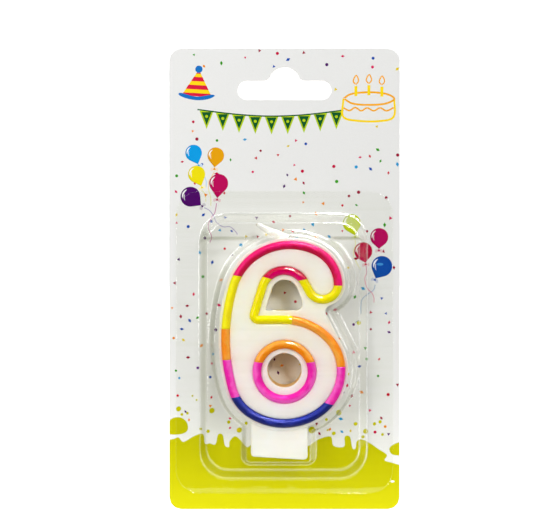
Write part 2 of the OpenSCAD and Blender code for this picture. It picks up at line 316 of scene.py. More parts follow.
def sweep_bead(name, points, normals, shears):
    """shears gives, at each end, how far the end's section leans along the line per unit sideways."""
    across, up = bead_section()
    n, m = len(points), len(across)
    steps = np.linalg.norm(np.diff(points, axis=0), axis=1)
    run = np.concatenate([[0], np.cumsum(steps)])
    total = run[-1]
    fade = min(END_LEAN_LENGTH, total / 2)
    along = np.stack([normals[:, 1], -normals[:, 0]], 1)
    wide = 1 + UNEVEN_WIDTH * waves([(*p, 0) for p in points], 5.0, 3.1)
    tall = 1 + UNEVEN_HEIGHT * waves([(*p, 0) for p in points], 4.0, 7.7) - UNEVEN_HEIGHT
    rows = []
    for k in range(n):
        lean = shears[0] * max(0, 1 - run[k] / fade) + shears[1] * max(0, 1 - (total - run[k]) / fade)
        side = across * wide[k]
        xy = points[k] + side[:, None] * normals[k] + (side * lean)[:, None] * along[k]
        rows.append(np.column_stack([xy, SLAB_FRONT + np.where(up > 0, up * tall[k], up)]))
    obj = new_object(name, place(np.concatenate(rows)), tube_faces(n, m))
    outward(obj)
    # painted_light_side runs from 0 on one foot of the section to 1 on the other; it places the bead's
    # painted light and shade
    point_values(obj, "painted_light_side", np.tile((across / BEAD_R + 1) / 2, n))
    for polygon in obj.data.polygons[-2:]:
        polygon.use_smooth = False
    return obj


line, line_left, line_step = line_along(bead_steps, SHELF_START, 0, SPACING / 4)
gaps = np.linalg.norm(np.roll(line, -1, axis=0) - line, axis=1)
line_run = np.concatenate([[0], np.cumsum(gaps)[:-1]])
LINE_LENGTH = gaps.sum()


def run_where(steps, axis, value, rising):
    """Distance along the line where the coordinate passes value on one of the steps."""
    for i in range(len(line)):
        j = (i + 1) % len(line)
        if line_step[i] in steps:
            a, b = line[i][axis] - value, line[j][axis] - value
            if (a < 0 <= b) if rising else (a >= 0 > b):
                return line_run[i] + gaps[i] * a / (a - b)
    raise ValueError((steps, axis, value))


CUTS = {name: run_where(*where) for name, *where in (
    ("shelf", [0], 0, SHELF_CUT, True),
    ("bowl", [1], 1, RIGHT_CUTS[1], False),
    ("bowl_low", [2], 1, RIGHT_CUTS[2], False),
    ("left_low", [4], 1, LEFT_CUTS[3], True),
    ("left_pink", [5], 1, LEFT_CUTS[2], True),
    ("left_orange", [5], 1, LEFT_CUTS[1], True),
    ("left_yellow", [5, 6], 1, LEFT_CUTS[0], True),
    ("hook", [8, 9], 1, RIGHT_CUTS[0], False),
    ("counter_right", [COUNTER], 1, COUNTER_CUTS[1], True),
    ("counter_left", [COUNTER, CORNER], 1, COUNTER_CUTS[0], False),
)}
TILT = 0.6              # how far a cut turns from square across the bead towards level
STEEPEST_LEAN = 0.8


def at_run(s):
    """Place on the line and left normal at a distance along it."""
    s = s % LINE_LENGTH
    i = int(np.searchsorted(line_run, s, side="right")) - 1
    t = (s - line_run[i]) / gaps[i]
    j = (i + 1) % len(line)
    left = line_left[i] * (1 - t) + line_left[j] * t
    return line[i] * (1 - t) + line[j] * t, left / np.linalg.norm(left)


def lean_at(cut):
    """Lean that turns the cut towards level."""
    _, left = at_run(CUTS[cut])
    along = np.array([left[1], -left[0]])
    if cut == "shelf" or abs(along[1]) < 0.2:
        return 0.0
    return float(np.clip(-left[1] / along[1], -STEEPEST_LEAN, STEEPEST_LEAN)) * TILT


def bead_piece(name, first, last):
    """Middle line and mesh of the bead between two cuts."""
    a, b = CUTS[first], CUTS[last]
    if b < a:
        b += LINE_LENGTH
    n = max(4, round((b - a) / SPACING))
    placed = [at_run(a + (b - a) * k / n) for k in range(n + 1)]
    points, normals = np.array([p for p, _ in placed]), np.array([q for _, q in placed])
    return points, sweep_bead(name, points, normals, (lean_at(first), lean_at(last)))


def ring_piece(name, start, end):
    """Middle line and mesh of the ring's bead between two angles."""
    n = round(math.radians(end - start) * RING_R / SPACING)
    turns = [start + (end - start) * k / n for k in range(n + 1)]
    points = np.array([np.array(RING_AT) + RING_R * ahead(t) for t in turns])
    normals = np.array([-ahead(t) for t in turns])
    lean = math.tan(math.radians(ring_level)) * TILT
    return points, sweep_bead(name, points, normals, (lean, -lean) if 0 < start < 90 else (-lean, lean))


ring_level = math.degrees(math.asin((RING_CUT - RING_AT[1]) / RING_R))
bead_lines, cut = {}, "counter_left"
for node, name, end in (        # each run of colour ends at a cut, where the next one starts
    ("counter_yellow", "bead_counter_yellow", "shelf"),
    ("bowl_orange", "bead_bowl_orange", "bowl"),
    ("rim_right_pink", "bead_right_pink", "bowl_low"),
    ("rim_bottom_navy", "bead_bottom_navy", "left_low"),
    ("rim_left_pink", "bead_left_pink", "left_pink"),
    ("rim_left_orange", "bead_left_orange", "left_orange"),
    ("rim_left_yellow", "bead_left_yellow", "left_yellow"),
    ("rim_top_magenta", "bead_top_magenta", "hook"),
    ("hook_yellow", "bead_hook_yellow", "counter_right"),
    ("counter_top_magenta", "bead_counter_magenta", "counter_left"),
):
    bead_lines[node] = bead_piece(name, cut, end)
    cut = end
bead_lines["ring_top_orange"] = ring_piece("bead_ring_orange", ring_level, 180 - ring_level)
bead_lines["ring_bottom_pink"] = ring_piece("bead_ring_pink", 180 - ring_level, 360 + ring_level)
bead_pieces = {node: piece for node, (_, piece) in bead_lines.items()}

INKS_WITH_PAINTED_LIGHT = {                # each dye, and a paler or deeper copy of it painted on the side of a bead where painted_light_side is 0: painted light, shade and reflection
    "magenta": (srgb(236, 0, 112), srgb(202, 0, 62)),
    "yellow": (srgb(252, 240, 0), srgb(240, 224, 6)),
    "orange": (srgb(248, 140, 6), srgb(250, 170, 62)),
    "pink": (srgb(238, 18, 170), srgb(246, 92, 198)),
    "navy": (srgb(4, 18, 106), srgb(28, 42, 148)),
}

# ---- Wax body and wick ----

wax = from_node("wax_body", "wax_numeral", 0.3, 3)
mm = drawn(point_vectors(wax))
WAX_WHITE = np.array(srgb(254, 252, 246))
# Painted shade: the holes' walls are painted a darker warm wax colour, for the shade and coloured bounce
# light inside the holes
RING_HOLE_PAINTED_SHADE = np.array(srgb(232, 190, 118))
COUNTER_HOLE_PAINTED_SHADE = np.array(srgb(226, 200, 96))
RING_HOLE = (RING_AT[0], RING_AT[1] + 0.5, 5.6)      # middle and radius
COUNTER_HOLE = (-1.2, -5.4, 5.2)
HOLE_SHADE_FADE = 0.7         # outside a hole's wall
BLEEDS = ((0.17, 1.2), (0.035, 6))      # shares of a bead's dye in the wax beside it, each with its reach
BATCH = 4000            # points measured at a time
WAX_UNEVEN = 0.035


def near_hole(p, hole):
    """1 on a hole's wall, fading to 0 just outside it."""
    outside = np.linalg.norm(p - np.array(hole[:2]), axis=1) - hole[2]
    return np.clip(1 - np.maximum(0, outside) / HOLE_SHADE_FADE, 0, 1)


dye_and_hole_shade = np.ones((len(mm), 4))
dye_and_hole_shade[:, :3] = WAX_WHITE
for node, (points, _) in bead_lines.items():
    ink = np.array(INKS_WITH_PAINTED_LIGHT[node.rsplit("_", 1)[1]][0])
    away = np.full(len(mm), 99.0)
    for start in range(0, len(mm), BATCH):
        gap = mm[start:start + BATCH, None, :2] - points[None, ::3]
        away[start:start + BATCH] = np.sqrt((gap ** 2).sum(2).min(1))
    away = np.hypot(np.maximum(0, away - BEAD_R), np.maximum(0, SLAB_FRONT - mm[:, 2]) * 1.5)
    share = sum(part * np.exp(-away / reach) for part, reach in BLEEDS)[:, None]
    dye_and_hole_shade[:, :3] = dye_and_hole_shade[:, :3] * (1 - share) + ink * share
# painted shade in the holes, growing towards their depths, mixed over the dye that has run into the wax
hole_shade_depth = np.clip((SLAB_FRONT - 0.4 - mm[:, 2]) / 0.6, 0, 1)
for opening, tint in ((RING_HOLE, RING_HOLE_PAINTED_SHADE), (COUNTER_HOLE, COUNTER_HOLE_PAINTED_SHADE)):
    hole = (near_hole(mm[:, :2], opening) * hole_shade_depth)[:, None]
    dye_and_hole_shade[:, :3] = dye_and_hole_shade[:, :3] * (1 - hole) + tint * hole
swell(wax, WAX_UNEVEN * waves(mm, 6.0, 1.3))
point_values(wax, "dye_and_hole_shade", dye_and_hole_shade, "FLOAT_COLOR")

coat = from_node("wick_wax", "wick_coat", 0.16, 4)
mm = drawn(point_vectors(coat))
swell(coat, 0.10 * waves(mm, 1.6, 5.2) + 0.05 * waves(mm, 0.7, 9.4) - 0.05)

WICK_X, SEAT_Y, KNEE_RISE, CORE_BURIED, CORE_R = -0.5, 13.11, 0.5, 12, 0.55
WICK_TURN, WICK_LONG, SLAB_MIDDLE = 62, 10.2, 5.05
STRANDS, STRAND_TURNS = 3, 1.1
CORE_SIDES = 24
KNEE_R = 1.0            # of the core's bend
KNEE_TAKES = 0.6        # of the straights on both sides of it
NEARLY_STRAIGHT_R = 900
FRAYED_ROWS = 3         # rows of points in the core's worn tip


def wick_core():
    """The cotton core: up through the wax, over its knee and along the bare wick, in twisted strands."""
    knee = np.array([WICK_X, SEAT_Y + KNEE_RISE])
    bent = math.degrees((WICK_LONG - KNEE_TAKES) / NEARLY_STRAIGHT_R)
    steps = [[CORE_BURIED - KNEE_TAKES, KNEE_R, WICK_TURN], [0.001, NEARLY_STRAIGHT_R, bent]]
    path, left, _ = line_along(steps, knee - np.array([0, CORE_BURIED]), 90, 0.15)
    rows = []
    for k, (p, q) in enumerate(zip(path, left)):
        turns = np.linspace(0, 2 * math.pi, CORE_SIDES, endpoint=False)
        r = CORE_R * (0.86 + 0.14 * np.abs(np.cos(turns * STRANDS / 2 + k * 0.15 * STRAND_TURNS)))
        if k >= len(path) - FRAYED_ROWS:
            r = r * (0.55 + 0.15 * (len(path) - 1 - k))
        side, forward = np.cos(turns) * r, np.sin(turns) * r
        rows.append(np.column_stack([p + np.outer(side, q), SLAB_MIDDLE + forward]))
    obj = new_object("wick_braid", place(np.concatenate(rows)), tube_faces(len(rows), CORE_SIDES))
    outward(obj)
    return obj


core = wick_core()

# ---- Blister film: heights of the formed sheet, with fillets ----


def smooth_min(a, b, k):
    """The lower of a and b, rounded over k where they cross."""
    h = np.clip(0.5 + 0.5 * (b - a) / k, 0, 1)
    return b * (1 - h) + a * h - k * h * (1 - h)


def smooth_max(a, b, k):
    return -smooth_min(-a, -b, k)


def box_distance(p, edges, r):
    """Signed distance to a rounded rectangle, below zero inside. Each point may have its own edges and r."""
    edges = np.asarray(edges, float)
    low, high = edges[..., :2], edges[..., 2:]
    q = np.abs(p - (low + high) / 2) - (high - low) / 2 + np.reshape(r, (-1, 1))
    return np.linalg.norm(np.maximum(q, 0), axis=1) + np.minimum(q.max(axis=1), 0) - r


edge_points, edge_normals = wax_edge(0.7)


def wax_distance(p):
    """Signed distance to the wax slab's outline, below zero inside, and the direction out of it."""
    a, b = edge_points, np.roll(edge_points, -1, axis=0)
    d = b - a
    away = np.empty(len(p))
    out = np.empty((len(p), 2))
    inside = np.zeros(len(p), bool)
    for start in range(0, len(p), BATCH):
        part = slice(start, start + BATCH)
        q = p[part, None, :]
        t = np.clip(((q - a) * d).sum(2) / (d * d).sum(1), 0, 1)
        off = q - a - t[..., None] * d
        gap = np.linalg.norm(off, axis=2)
        nearest = gap.argmin(1)
        rows = np.arange(len(nearest))
        away[part] = gap[rows, nearest]
        out[part] = off[rows, nearest] / (gap[rows, nearest][:, None] + 1e-9)
        crosses = (a[:, 1] > q[..., 1]) != (b[:, 1] > q[..., 1])
        with np.errstate(divide="ignore", invalid="ignore"):
            at = a[:, 0] + (q[..., 1] - a[:, 1]) / (b[:, 1] - a[:, 1]) * d[:, 0]
        inside[part] = (crosses & (q[..., 0] < at)).sum(1) % 2 == 1
    return np.where(inside, -away, away), np.where(inside[:, None], -out, out)


def tray_rise(p):
    """How far a point is up the tray's wall: 0 at its foot, 1 at its front edge."""
    lo, hi = np.full(len(p), -0.5), np.full(len(p), 1.5)
    foot, edge = np.array(TRAY_FOOT), np.array(TRAY_EDGE)
    foot_r, edge_r = TRAY_RADII
    for _ in range(14):
        t = (lo + hi) / 2
        away = box_distance(p, foot + (edge - foot) * t[:, None], foot_r + (edge_r - foot_r) * t)
        lo, hi = np.where(away < 0, t, lo), np.where(away < 0, hi, t)
    return (lo + hi) / 2


FLANGE_FRONT = CARD_T + 0.04 + FILM
DOME_FOOT_OUT, DOME_TOP_OUT = 3.1, 1.5      # the dome's wall, outside the wax edge
LEAN_TO, LEAN_MORE = (0.75, 0.66), 1.3      # the wall leans out further on its upper right
STRIP_STEP_SLOPE = 3.2                      # of the wall between the tray and the strip
TAB_WALL_IN = 0.5                           # the tab's dome reaches its front this far inside its edges
TOP_FILLETS = {"tray": 0.8, "strip": 1.0, "dome": 1.8}      # rounding where a wall meets its top,
FOOT_FILLETS = {"tray": 0.7, "strip": 0.6, "tab": 1.0, "dome": 1.2}     # and where it meets what is round it


def film_height(p):
    """Distance from the card's back to the film's front at each point."""
    up = tray_rise(p)
    flange, top = np.full(len(p), FLANGE_FRONT), np.full(len(p), DOME_FRONT)
    tray, strip = (
        smooth_min(FLANGE_FRONT + up * (front - FLANGE_FRONT), np.full(len(p), front), TOP_FILLETS["tray"])
        for front in (TRAY_FRONT, STRIP_FRONT)
    )
    step = TRAY_FRONT + (p[:, 1] - STRIP_LOW + 0.1) * STRIP_STEP_SLOPE
    strip = smooth_min(strip, step, TOP_FILLETS["strip"])
    rise, run = DOME_FRONT - TRAY_FRONT, DOME_FOOT_OUT - DOME_TOP_OUT
    away, out = wax_distance(p)
    lean = np.clip(out @ np.array(LEAN_TO), 0, 1) ** 1.5 * LEAN_MORE
    wall = DOME_FRONT + (DOME_TOP_OUT - 0.25 * lean - away) * (rise / (run + lean))
    dome = smooth_min(wall, top, TOP_FILLETS["dome"])
    tab_away = box_distance(p, TAB_DOME, TAB_DOME_R) + TAB_WALL_IN
    tab = smooth_min(DOME_FRONT - tab_away * (rise / run), top, TOP_FILLETS["dome"])
    h = smooth_max(tray, strip, FOOT_FILLETS["strip"])
    h = smooth_max(h, smooth_max(dome, tab, FOOT_FILLETS["tab"]), FOOT_FILLETS["dome"])
    return np.minimum(smooth_max(h, flange, FOOT_FILLETS["tray"]), DOME_FRONT)


def rounded_loop(edges, r, spacing):
    """Points anticlockwise round a rounded rectangle."""
    left, bottom, right, top = edges
    n = max(3, round(r * math.pi / 2 / spacing))
    corners = (
        (right - r, bottom + r, -90), (right - r, top - r, 0),
        (left + r, top - r, 90), (left + r, bottom + r, 180),
    )
    arcs = [
        [np.array([x, y]) + r * ahead(turn + 90 * i / n) for i in range(n + 1)] for x, y, turn in corners
    ]
    found = []
    for arc, following in zip(arcs, arcs[1:] + arcs[:1]):
        gap = following[0] - arc[-1]
        m = max(1, round(np.linalg.norm(gap) / spacing))
        found += arc + [arc[-1] + gap * i / m for i in range(1, m)]
    return np.array(found)


DOME_ROWS = (0.3, 0.7, 1.1, 1.5, 1.9, 2.3, 2.7, 3.1, 3.5, 4.0, 4.5)     # mm outside the wax
TAB_ROWS = (-1.2, -0.7, -0.3, 0.1, 0.5, 0.9, 1.3, 1.8)                  # mm outside the tab's dome
TRAY_ROWS = (-0.2, -0.1, -0.03, 0.04, 0.12, 0.3, 0.5, 0.7, 0.86, 0.93, 1.0, 1.08, 1.2)      # see tray_rise
STRIP_ROWS = (-0.5, -0.2, 0.1, 0.4, 0.7, 1.0, 1.4)                      # mm above the strip's lower edge
RIM_IN = 0.4            # one row of points lies this far inside the flange's edge
SPARSE = 2.4            # between the points where the film is flat
RIPPLE = 0.05


def film_points():
    """Face-on points of the film's mesh, dense across its folds, and how many of them lie round its edge."""
    cloud = []
    for out in DOME_ROWS:
        p = edge_points + edge_normals * out
        cloud.append(p[np.abs(wax_distance(p)[0] - out) < 0.05])
    for out in TAB_ROWS:
        e = (TAB_DOME[0] - out, TAB_DOME[1] - out, TAB_DOME[2] + out, TAB_DOME[3] + out)
        cloud.append(rounded_loop(e, max(0.6, TAB_DOME_R + out), 0.8))
    foot, edge = np.array(TRAY_FOOT), np.array(TRAY_EDGE)
    for t in TRAY_ROWS:
        cloud.append(rounded_loop(foot + (edge - foot) * t, TRAY_RADII[0] - 2 * t, 0.9))
    xs = np.arange(TRAY_FOOT[0] + 1, TRAY_FOOT[2] - 1, 0.8)
    for y in STRIP_ROWS:
        cloud.append(np.column_stack([xs, np.full(len(xs), STRIP_LOW + y)]))
    left, bottom, right, top = FLANGE
    inset = (left + RIM_IN, bottom + RIM_IN, right - RIM_IN, top - RIM_IN)
    cloud.append(rounded_loop(inset, FLANGE_R - RIM_IN, 0.8))
    cloud = np.concatenate(cloud)
    keep = {}
    for p in cloud:
        keep.setdefault((round(p[0] / 0.3), round(p[1] / 0.3)), p)
    cloud = np.array(list(keep.values()))
    grid = [(x, y) for x in np.arange(-36, 36.5, SPARSE) for y in np.arange(-72, 29.5, SPARSE)]
    near = kdtree.KDTree(len(cloud))
    for i, p in enumerate(cloud):
        near.insert((*p, 0), i)
    near.balance()
    grid = np.array([p for p in grid if near.find((*p, 0))[2] > 1.3])
    rim_loop = rounded_loop(FLANGE, FLANGE_R, 1.5)
    inner = np.concatenate([cloud, grid])
    inner = inner[box_distance(inner, FLANGE, FLANGE_R) < -0.3]
    return np.concatenate([rim_loop, inner]), len(rim_loop)


def blister_film():
    """The film: one formed sheet with ripples, given its thickness."""
    points, n = film_points()
    edges = [(i, (i + 1) % n) for i in range(n)]
    flat, _, faces, *_ = delaunay_2d_cdt([Vector(p) for p in points], edges, [], 1, 1e-5)
    flat = np.array([(v.x, v.y) for v in flat])
    height = film_height(flat)
    inside = box_distance(flat, FLANGE, FLANGE_R)
    ripple = RIPPLE * waves([(*p, 0) for p in flat], 14.0, 2.2) * np.clip(-inside / 6, 0, 1)
    ripple = np.where(height > DOME_FRONT - 0.3, np.minimum(ripple, 0) * 0.6, ripple)
    ripple = np.where(height < FLANGE_FRONT + 0.2, np.abs(ripple) * 1.2, ripple)     # never into the card
    height = np.minimum(height + ripple, DOME_FRONT)
    obj = new_object("blister_film", place(np.column_stack([flat, height])), faces)
    outward(obj)
    if obj.data.polygons[0].normal.y > 0:
        obj.data.flip_normals()
    right, forward, up = point_vectors(obj, "normal").T
    # wall is 0 where the film is flat and 1 on steep walls. upper is 1 where it faces the upper right, where
    # the walls get painted light; elsewhere they get painted shade.
    point_values(obj, "wall", np.clip((1 - np.abs(forward)) * 1.6, 0, 1))
    point_values(obj, "upper", np.clip((right * 0.4 + up * 0.8 + 0.05) / 0.2, 0, 1))
    thick = obj.modifiers.new("thick", "SOLIDIFY")
    thick.thickness = FILM * MM
    thick.offset = -1
    thick.use_even_offset = False
    apply_modifiers(obj)
    obj.data.shade_smooth()
    return obj


film = blister_film()

# ---- Card: one board whose printed front is cut into its artwork's areas ----


def stroke(points, width, taper=0.0):
    """Outline of a line of some width through the points, thinned towards its ends by taper."""
    p = np.asarray(points, float)
    d = np.gradient(p, axis=0)
    d /= np.linalg.norm(d, axis=1)[:, None] + 1e-9
    n = np.stack([-d[:, 1], d[:, 0]], 1)
    t = np.linspace(-1, 1, len(p))
    w = width / 2 * (1 - taper * t ** 2)
    return np.concatenate([p + n * w[:, None], (p - n * w[:, None])[::-1]])


def curve(points, parts=5):
    """A smooth line through the points."""
    p = np.asarray(points, float)
    q = np.concatenate([[2 * p[0] - p[1]], p, [2 * p[-1] - p[-2]]])
    found = []
    for i in range(1, len(q) - 2):
        for k in range(parts):
            t = k / parts
            a, b, c, e = q[i - 1], q[i], q[i + 1], q[i + 2]
            square, cube = 2 * a - 5 * b + 4 * c - e, 3 * b - a - 3 * c + e
            found.append(0.5 * (2 * b + (c - a) * t + square * t ** 2 + cube * t ** 3))
    found.append(p[-1])
    return np.array(found)


def closed_curve(points, parts=4):
    """A smooth loop through the points."""
    p = [tuple(q) for q in points]
    looped = curve(p[-2:] + p + p[:3], parts)
    return looped[2 * parts:(2 + len(p)) * parts]


def disc(x, y, rx, ry=None, sides=20, turn=0.0):
    """An ellipse, or a regular polygon where it has few sides."""
    ry = rx if ry is None else ry
    t = np.radians(np.arange(sides) * 360 / sides)
    p = np.column_stack([np.cos(t) * rx, np.sin(t) * ry])
    c, s = math.cos(math.radians(turn)), math.sin(math.radians(turn))
    return p @ np.array([[c, s], [-s, c]]) + np.array([x, y])


def arc_stroke(x, y, r, start, end, width, taper=0.8):
    t = np.radians(np.linspace(start, end, 12))
    return stroke(np.column_stack([x + np.cos(t) * r, y + np.sin(t) * r]), width, taper)


art = []        # (outline, ink) from the lowest to the uppermost


def paint(outline, ink):
    art.append((np.asarray(outline, float), ink))


def draw(points, width, ink, smooth=True):
    """A line of one width, through the points in a smooth curve or straight from one to the next."""
    paint(stroke(curve(points) if smooth else points, width), ink)


PAPER = srgb(230, 230, 228)
SPLASH = srgb(191, 187, 0)
WHITE = srgb(246, 246, 244)
BLACK = (0.0, 0.0, 0.0)


def mixed(a, b, t):
    """Colour a with a share t of colour b."""
    return tuple(x * (1 - t) + y * t for x, y in zip(a, b))


def balloon(x, y, half, tip, ink):
    """A round balloon that narrows to its tip, with its shine and the bow of its knot."""
    to_tip = np.array(tip) - np.array([x, y])
    reach, lean = np.linalg.norm(to_tip), math.atan2(to_tip[1], to_tip[0])
    turns = lean + np.radians(np.arange(0, 360, 7.5))
    off_tip = np.abs((turns - lean + math.pi) % (2 * math.pi) - math.pi)
    touch = math.acos(half / reach)         # where the straight sides leave the round part
    r = np.where(off_tip < touch, half / np.cos(touch - off_tip), half)
    outline = np.column_stack([x + np.cos(turns) * r, y + np.sin(turns) * r])
    dark, pale = mixed(ink, BLACK, 0.22), mixed(ink, WHITE, 0.6)
    tip = np.array(tip)
    down = to_tip / reach
    side = np.array([-down[1], down[0]])
    for s in (-1, 1):
        bow = [tip, tip + down * 0.3 + s * side * 1.2, tip + down * 1.3 + s * side * 1.1, tip + down * 0.8]
        paint(closed_curve(bow), pale)
    paint(outline, dark)
    inner_x, inner_y = x + 0.07 * half + np.cos(turns) * r * 0.93, y + 0.02 * half + np.sin(turns) * r * 0.96
    paint(np.column_stack([inner_x, inner_y]), ink)
    paint(arc_stroke(x, y, half * 0.80, 118, 188, half * 0.17), mixed(ink, WHITE, 0.88))
    paint(arc_stroke(x - half * 0.02, y - half * 0.05, half * 0.62, 150, 212, half * 0.12), pale)
    paint([tip, tip + down * 0.7 + side * 0.5, tip + down * 0.9, tip + down * 0.7 - side * 0.5], ink)


def splash():
    """Paint along the card's foot: its dripping upper edge, two blots at the sides and loose drops."""
    top = [
        (-41, -55.0), (-37.6, -54.2), (-35.9, -53.7), (-34.2, -55.2), (-30.8, -53.3), (-27.6, -52.5),
        (-27.0, -55.7), (-25.3, -55.7), (-23.4, -56.0), (-22.5, -52.7), (-20.9, -52.9), (-20.2, -56.4),
        (-18.8, -56.9), (-18.6, -55.0), (-16.8, -53.3), (-14.9, -54.6), (-12.5, -57.0), (-9.5, -54.5),
        (-6.0, -56.5), (-2.0, -54.0), (1.5, -56.6), (5.0, -54.6), (7.6, -56.6), (9.9, -55.4), (11.8, -54.2),
        (15.7, -53.4), (16.6, -56.5), (20.2, -56.8), (20.4, -53.5), (22.2, -53.5), (23.0, -57.3),
        (24.1, -57.4), (24.5, -55.0), (26.4, -54.4), (29.4, -55.9), (31.5, -57.4), (34.7, -59.6),
        (33.9, -61.4), (36.2, -62.2), (41, -63.6),
    ]
    below = -CARD_H / 2 - 2
    paint([tuple(p) for p in curve(top, 4)] + [(41, below), (-41, below)], SPLASH)
    left_blot = [
        (-41, -51.5), (-38.6, -47.6), (-35.4, -46.9), (-33.1, -48.6), (-32.9, -51.3), (-35.2, -52.6),
        (-39, -52.6),
    ]
    right_blot = [(41, -55.4), (38.0, -55.6), (35.6, -57.2), (36.2, -59.2), (38.4, -59.8), (41, -59.4)]
    paint(closed_curve(left_blot), SPLASH)
    paint(closed_curve(right_blot), SPLASH)
    paint(disc(36.6, -68.6, 0.7, 0.35), WHITE)
    dots = [
        (-35.9, -44.0, 0.9), (-34.8, -45.9, 0.5), (-32.9, -45.5, 0.5), (-24.6, -44.6, 1.0),
        (-18.9, -48.5, 0.6), (-15.3, -51.2, 1.0), (-13.0, -48.9, 0.6), (-28.4, -50.8, 0.5),
        (-25.9, -51.6, 0.6), (18.4, -45.3, 1.0), (24.1, -49.1, 0.7), (27.5, -51.6, 0.9), (16.7, -52.3, 0.7),
        (14.6, -51.2, 0.4), (30.5, -49.1, 0.6), (32.4, -48.4, 0.6), (33.2, -52.7, 0.5), (26.6, -53.5, 0.6),
        (9.3, -51.2, 1.2), (14.2, -47.6, 0.5), (25.2, -14.9, 0.75), (-29.8, -41.0, 0.35),
        (-31.2, -39.6, 0.35),
    ]
    for x, y, r in dots:
        paint(disc(x, y, r, r * rng.uniform(0.85, 1.0), 14, rng.uniform(0, 90)), SPLASH)


def bunting():
    """A string of pennants across the card's head."""
    cloth, trim = srgb(10, 84, 38), srgb(176, 204, 18)

    def rope_y(x):
        return 57.6 - 2.4 * np.cos(np.radians((x + 4) * 3.4))

    for k in range(9):
        x = -26.4 + 5.5 * k
        y = rope_y(x)
        paint([(x - 2.4, y), (x, y - 6.2), (x + 2.4, y)], trim)
        paint([(x - 1.7, y - 0.45), (x, y - 4.9), (x + 1.7, y - 0.45)], cloth)
        paint(disc(x, y - 1.9, 0.5, 0.5, 12), trim)
    xs = np.linspace(-29.5, 20, 40)
    draw(np.column_stack([xs, rope_y(xs)]), 0.45, cloth, smooth=False)


def party_hat():
    """A striped paper hat in the card's upper left."""
    red, yellow, blue = srgb(214, 24, 60), srgb(250, 214, 20), srgb(20, 110, 190)
    tip, left, right = np.array([-29.0, 71.0]), np.array([-35.0, 62.2]), np.array([-24.6, 61.6])
    middle = (left + right) / 2
    paint([left, right, tip], red)
    for a, b in ((0.12, 0.26), (0.42, 0.56), (0.72, 0.84)):
        paint([side + (tip - side) * t for side, t in ((left, a), (right, a), (right, b), (left, b))], yellow)
    paint(disc(-29.0, 71.1, 1.25, 1.25, 18), blue)
    brim = [
        left + (-0.8, 0.2), left + (1.5, -0.9), middle + (0, -1.3), right + (-1.5, -0.7),
        right + (0.8, 0.3), right + (0, 0.9), middle + (0, -0.1), left + (0, 0.9),
    ]
    paint(closed_curve(brim), blue)


def cake():
    """A line-drawn cake with three candles in the upper right."""
    warm, gold = srgb(243, 170, 20), srgb(246, 214, 10)
    sides = [(20, 61.2), (19.8, 55.2), (24, 53.7), (32, 53.5), (37.0, 55.0), (37.2, 61.0)]
    top = [
        (20, 61.2), (23, 62.8), (29, 63.3), (34.6, 62.7), (37.2, 61.0), (34, 59.4), (28, 59.0), (23, 59.5),
        (20, 61.2),
    ]
    icing = [
        (20, 58.0), (22, 57.1), (24, 58.1), (26, 57.0), (28, 58.0), (30.2, 57.0), (32.4, 58.0), (34.6, 57.0),
        (37, 58.1),
    ]
    draw(sides, 0.7, gold)
    draw(top, 0.65, warm)
    draw(icing, 0.55, warm)
    for x, y in ((24.2, 62.0), (28.6, 62.3), (33.0, 61.8)):
        draw([(x, y), (x, y + 3.4)], 1.0, gold, smooth=False)
        flame = [(x, y + 3.9), (x - 0.9, y + 5.1), (x + 0.1, y + 7.0), (x + 0.9, y + 5.2), (x, y + 3.9)]
        draw(flame, 0.45, warm)


def strings():
    """The balloons' strings, from the left group to the right one."""
    straw = srgb(226, 222, 150)
    for width, ink, points in (
        (0.28, srgb(196, 130, 168), [
            (-23.0, 25.7), (-23.6, 22.5), (-24.4, 21.4), (-25.7, 18.9), (-25.8, 17.2), (-24.7, 14.3),
            (-25.3, 12.4),
        ]),
        (0.28, srgb(170, 160, 196), [
            (-27.2, 24.2), (-25.3, 23.1), (-24.1, 21.4), (-23.0, 19.2), (-20.8, 17.7), (-18.5, 17.7),
            (-16.8, 16.3), (-15.9, 15.1),
        ]),
        (0.25, straw, [(-28.1, 30.2), (-26.8, 28.5), (-26.7, 26.2)]),
        (0.25, straw, [(-25.8, 30.5), (-25.0, 27.4), (-25.0, 24.8)]),
        (0.25, srgb(236, 196, 140), [(-23.8, 36.4), (-24.6, 34.8), (-25.6, 33.0), (-25.8, 30.5)]),
        (0.25, srgb(170, 205, 230), [(-29.4, 38.2), (-28.0, 36.6), (-26.6, 33.4), (-26.6, 31.0)]),
        (0.28, srgb(160, 182, 206), [
            (30.7, -2.0), (30.2, -3.7), (28.0, -5.3), (26.3, -6.9), (25.9, -9.1), (25.9, -11.8),
        ]),
        (0.28, srgb(222, 150, 170), [
            (27.6, 4.5), (27.8, 2.0), (27.2, 0.3), (27.6, -2.0), (28.5, -3.7), (29.6, -4.7), (30.3, -6.4),
            (30.3, -7.9),
        ]),
        (0.25, straw, [(23.9, 13.4), (24.0, 11.5), (23.3, 8.5), (24.6, 5.2), (25.8, 3.2)]),
    ):
        draw(points, width, ink)
    draw([(24.0, -14.8), (24.7, -14.3), (25.3, -14.0)], 0.25, srgb(150, 160, 160), smooth=False)


CONFETTI_TRIES = 290
CONFETTI_APART = math.sqrt(7.5)


